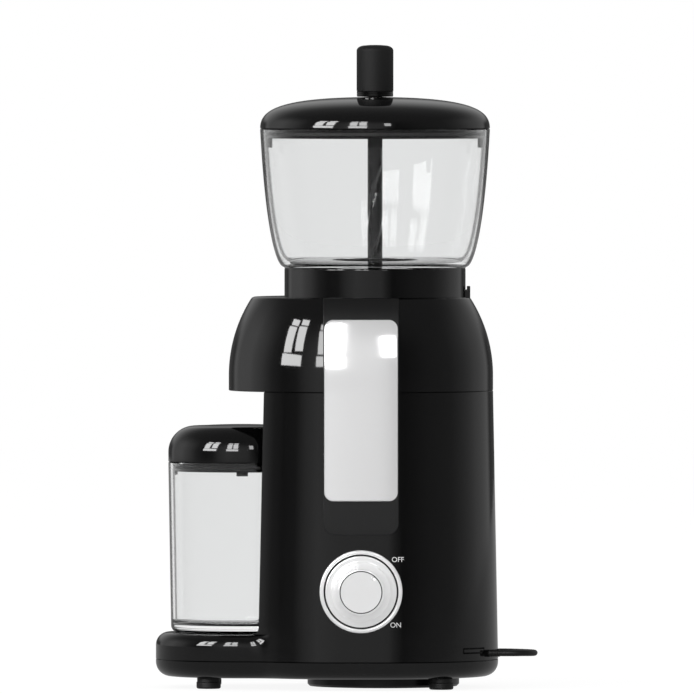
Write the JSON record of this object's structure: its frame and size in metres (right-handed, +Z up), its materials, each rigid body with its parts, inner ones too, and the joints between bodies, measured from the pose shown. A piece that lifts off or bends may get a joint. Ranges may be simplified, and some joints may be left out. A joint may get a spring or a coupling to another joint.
{
  "type": "peanut butter machine",
  "caption": "Electric nut grinder with a clear lidded hopper and hand stirrer, a dial, and a lidded jar in a bay under the overhanging head.",
  "frame": {"origin": "on the table under the middle of the machine's own box, without its cord", "axes": "+Z up, the jar towards -X, the dial and silver panel towards -Y, the cord's exit at the +X end"},
  "size_m": [0.2385, 0.225, 0.4013],
  "materials": {
    "black_gloss": "high gloss",
    "black_trim": "gloss",
    "black_matte": "satin",
    "silver": "satin silver paint",
    "chrome": "bright plated",
    "clear": "clear",
    "rubber": "matt",
    "seal": "matt",
    "cord": "satin",
    "steel": "turned",
    "burr": "ground",
    "alloy": "cast",
    "copper": "wound wire",
    "brass": "turned",
    "nylon": "moulded",
    "switch": "moulded"
  },
  "bodies": {
    "machine": {"base_pan": "black_gloss", "vent_cover": "black_matte", "feet": "rubber", "base_screws": "steel", "lower_housing": "black_gloss", "upper_housing": "black_gloss", "side_trim": "black_trim", "silver_panel": "silver", "dial_bezel": "chrome", "rotary_switch": "switch", "hopper_collar": "black_gloss", "collar_catch": "black_gloss", "chamber_seal": "seal", "grinder_cup": "alloy", "outer_burr": "burr", "spindle_bearings": "steel", "outlet_chute": "nylon", "gear_deck": "alloy", "mill_deck": "alloy", "deck_standoffs": "steel", "deck_screws": "steel", "cup_screws": "steel", "motor_stator": "steel", "field_coils": "copper", "motor_upper_frame": "alloy", "motor_lower_frame": "alloy", "motor_bearings": "steel", "motor_screws": "steel", "brush_holders": "switch", "carbon_brushes": "switch", "wiring": "cord", "strain_relief": "cord", "power_cord": "cord", "cord_coil": "cord", "cord_tie": "black_matte", "plug": "cord", "plug_pins": "brass"},
    "dial": {"dial_knob": "chrome", "switch_shaft": "steel"},
    "hopper": {"hopper": "clear"},
    "hopper_lid": {"hopper_lid": "black_gloss", "lid_seal": "seal", "lid_bush": "nylon"},
    "stirrer": {"stirrer_knob": "black_matte", "stirrer_rod": "black_trim", "rod_clip": "steel"},
    "jar": {"jar": "clear"},
    "jar_lid": {"jar_lid": "black_gloss", "jar_seal": "seal"},
    "spindle": {"spindle": "steel", "spindle_gear": "nylon", "inner_burr": "burr", "feed_auger": "steel", "auger_nut": "steel"},
    "rotor": {"rotor_shaft": "steel", "rotor_core": "steel", "commutator": "copper", "motor_fan": "black_matte", "motor_pinion": "brass"}
  },
  "joints": [
    {"name": "dial_turn", "type": "hinge", "parent": "machine", "child": "dial", "pos_m": [0.0212, -0.07317, 0.0618], "axis": [0, 1, 0], "range_deg": [0, 90]},
    {"name": "hopper_lift", "type": "slide", "parent": "machine", "child": "hopper", "axis": [0, 0, 1], "range_m": [0, 0.06]},
    {"name": "lid_lift", "type": "slide", "parent": "hopper", "child": "hopper_lid", "axis": [0, 0, 1], "range_m": [0, 0.1]},
    {"name": "stirrer_turn", "type": "hinge", "parent": "hopper_lid", "child": "stirrer", "pos_m": [0.03, 0.00683, 0.38], "axis": [0, 0, 1], "continuous": true},
    {"name": "jar_slide", "type": "slide", "parent": "machine", "child": "jar", "axis": [-1, 0, 0], "range_m": [0, 0.12]},
    {"name": "jar_lid_lift", "type": "slide", "parent": "jar", "child": "jar_lid", "axis": [0, 0, 1], "range_m": [0, 0.018]},
    {"name": "rotor_spin", "type": "hinge", "parent": "machine", "child": "rotor", "pos_m": [0.0528, 0.00683, 0.1], "axis": [0, 0, 1], "continuous": true},
    {"name": "spindle_spin", "type": "hinge", "parent": "machine", "child": "spindle", "pos_m": [0.03, 0.00683, 0.2], "axis": [0, 0, 1], "continuous": true}
  ],
  "couplings": [
    {"joint": "spindle_spin", "follows": "rotor_spin", "ratio": -0.33333}
  ]
}
